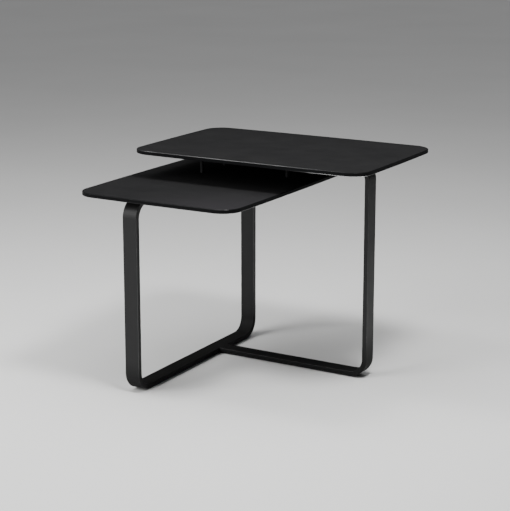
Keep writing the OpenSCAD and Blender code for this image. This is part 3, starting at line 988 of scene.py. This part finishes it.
turned_brass, tree, shader, place = new_material("turned brass")
turning = noise(tree, stretch(tree, place, 30.0, 30.0, 5200.0), 1.0, roughness=0.6)
tarnish = use_effect(tree, peel_effect, place, Ripple_Scale=1400.0)
brass = blend_colours(tree, tarnish.outputs["Mottle"], BRASS_BRIGHT, BRASS_TARNISHED)
tree.links.new(brass, shader.inputs["Base Color"])
tree.links.new(remap(tree, turning, 0.3, 0.7, 0.24, 0.42), shader.inputs["Roughness"])
tree.links.new(bump(tree, turning, 0.01 * MM), shader.inputs["Normal"])
set_inputs(shader, Metallic=1.0)
for node in ("post_inserts", "lower_top_inserts", "upper_top_inserts"):
    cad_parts[node].data.materials[0] = turned_brass

# ---------- upper top ----------
# The larger board of the same compact laminate, screwed down on the side frame's top run
# and held at its left by the tall posts' studs. It overhangs the leg and the loop.

# The polish on this top's chamfers carries a painted sheen and painted highlights in the edge colour.
FRONT_HIGHLIGHT_AND_RUB = 0.42
FRONT_FADE = 0.40
FADE_START = 70 * MM
FADE_END = 20 * MM
LEFT_HIGHLIGHT_AND_RUB_ABOVE = 0.64
LEFT_HIGHLIGHT_AND_RUB_BELOW = 0.60
LEFT_HIGHLIGHT_FULL = 58 * MM
LEFT_HIGHLIGHT_GONE = 95 * MM
FRONT_RIGHT_HIGHLIGHT_AND_RUB = 1.10
FRONT_RIGHT_HIGHLIGHT_START = 165 * MM
FRONT_RIGHT_HIGHLIGHT_FULL = 100 * MM

upper_low, upper_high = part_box("upper_top")


def upper_top_polish_and_highlight(point, out):
    """Polish with painted sheen and highlight: above along the front and at its left end, and below
    near the front right.

    The lengths are measured from the top's right end, and those of the left end's highlight from its
    left.
    """
    fade = ramp(point.x, upper_high.x - FADE_START, upper_high.x - FADE_END)
    front_right = ramp(point.x, upper_high.x - FRONT_RIGHT_HIGHLIGHT_START, upper_high.x - FRONT_RIGHT_HIGHLIGHT_FULL)
    front_right = front_right * ramp(-out.y, 0.10, 0.40)
    left_end = 1.0 - ramp(point.x, upper_low.x + LEFT_HIGHLIGHT_FULL, upper_low.x + LEFT_HIGHLIGHT_GONE)
    left_end = left_end * ramp(-out.y, 0.940, 0.999)
    above = FRONT_HIGHLIGHT_AND_RUB - FRONT_FADE * fade + LEFT_HIGHLIGHT_AND_RUB_ABOVE * left_end
    below = EDGE_BELOW + FRONT_RIGHT_HIGHLIGHT_AND_RUB * front_right + LEFT_HIGHLIGHT_AND_RUB_BELOW * left_end
    return above, below


insert_pocket = [(INSERT_POCKET, upper_low.z), (INSERT_POCKET, upper_low.z + INSERT_DEPTH)]
shell = new_shell()
press_top(shell, upper_low, upper_high, upper_top_polish_and_highlight,
          [(x, y, insert_pocket) for x, y in upper_spots + post_spots], [])
finish_piece(shell, "upper_top_board", [laminate_face, laminate_edge], "upper_top")

# ---------- studio ----------
# The room the tables stand in: a floor painted a flat pale grey that runs out of sight, soft
# boxes overhead and at the front left, dim walls, and a long lens at standing height. The
# room lights the tables from above, and the camera sees it as one plain grey.

FLOOR_REACH = 30.0
FLOOR_STEPS = 64
FLOOR_BELOW = 0.05 * MM
PAINT_PALE = (0.78, 0.78, 0.77, 1)
PAINT_PALER = (0.81, 0.81, 0.80, 1)
WALL_DIM = (0.03, 0.03, 0.0305, 1)
CEILING_BRIGHT = (0.98, 0.985, 1.0, 1)
ROOM_SEEN = (0.37, 0.37, 0.37, 1)
ROOM_STRENGTH = 0.62
CAMERA_PLACE = (1.436401, -2.493467, 0.977974)
CAMERA_YAW = math.radians(-30.08514)
CAMERA_PITCH = math.radians(12.70447)

floor_paint, tree, shader, place = new_material("pale floor paint")
tone = remap(tree, noise(tree, place, 1.3, detail=3.0), 0.3, 0.7)
painted = blend_colours(tree, tone, PAINT_PALE, PAINT_PALER)
tree.links.new(painted, shader.inputs["Base Color"])
tree.links.new(remap(tree, tone, 0.0, 1.0, 0.86, 0.94), shader.inputs["Roughness"])
tree.links.new(bump(tree, noise(tree, place, 700.0), 0.02 * MM, 0.4), shader.inputs["Normal"])
set_inputs(shader, Specular_IOR_Level=0.2)
shell = new_shell()
shell.faces.new(lay_ring(shell, circle(0, 0, 0, FLOOR_REACH, FLOOR_STEPS)))
mesh = bpy.data.meshes.new("floor")
shell.to_mesh(mesh)
shell.free()
mesh.materials.append(floor_paint)
floor = bpy.data.objects.new("floor", mesh)
floor.location.z = -FLOOR_BELOW
bpy.context.scene.collection.objects.link(floor)

world = bpy.data.worlds.new("soft room")
world.use_nodes = True
tree = world.node_tree
room = tree.nodes["Background"]
toward = add_node(tree, "ShaderNodeSeparateXYZ")
tree.links.new(add_node(tree, "ShaderNodeTexCoord").outputs["Generated"], toward.inputs[0])
overhead = remap(tree, toward.outputs["Z"], 0.45, 1.0, smooth=True)
light = blend_colours(tree, overhead, WALL_DIM, CEILING_BRIGHT)
seen = add_node(tree, "ShaderNodeLightPath").outputs["Is Camera Ray"]
tree.links.new(blend_colours(tree, seen, light, ROOM_SEEN), room.inputs["Color"])
room.inputs["Strength"].default_value = ROOM_STRENGTH
bpy.context.scene.world = world


def soft_box(name, place, aim, width, height, power):
    """A rectangular area lamp of so many metres and watts, turned to its aim."""
    lamp = bpy.data.lights.new(name, "AREA")
    lamp.shape = "RECTANGLE"
    lamp.size = width
    lamp.size_y = height
    lamp.energy = power
    box = bpy.data.objects.new(name, lamp)
    box.location = place
    box.rotation_mode = "QUATERNION"
    box.rotation_quaternion = (Vector(aim) - Vector(place)).to_track_quat("-Z", "Y")
    bpy.context.scene.collection.objects.link(box)


soft_box("key box overhead", (0.62, -0.37, 1.80), (0.05, 0.0, 0.3), 0.36, 0.36, 26)
soft_box("wide box overhead", (0.1, 0.1, 2.2), (0.0, 0.0, 0.3), 1.8, 1.8, 16)
soft_box("front left box", (-1.25, -1.90, 1.40), (-0.1, -0.1, 0.3), 1.3, 1.8, 60)
soft_box("left rim box", (-0.95, -0.45, 2.05), (0.0, 0.0, 0.45), 0.4, 0.4, 12)

lens = bpy.data.cameras.new("camera")
lens.sensor_width = 36
lens.lens = 104.315108
lens.shift_y = -0.079256360
lens.clip_start = 0.05
lens.clip_end = 100
camera = bpy.data.objects.new("camera", lens)
camera.location = CAMERA_PLACE
level = math.cos(CAMERA_PITCH)
ahead = Vector((math.sin(CAMERA_YAW) * level, math.cos(CAMERA_YAW) * level, -math.sin(CAMERA_PITCH)))
camera.rotation_mode = "QUATERNION"
camera.rotation_quaternion = ahead.to_track_quat("-Z", "Y")
bpy.context.scene.collection.objects.link(camera)
bpy.context.scene.camera = camera
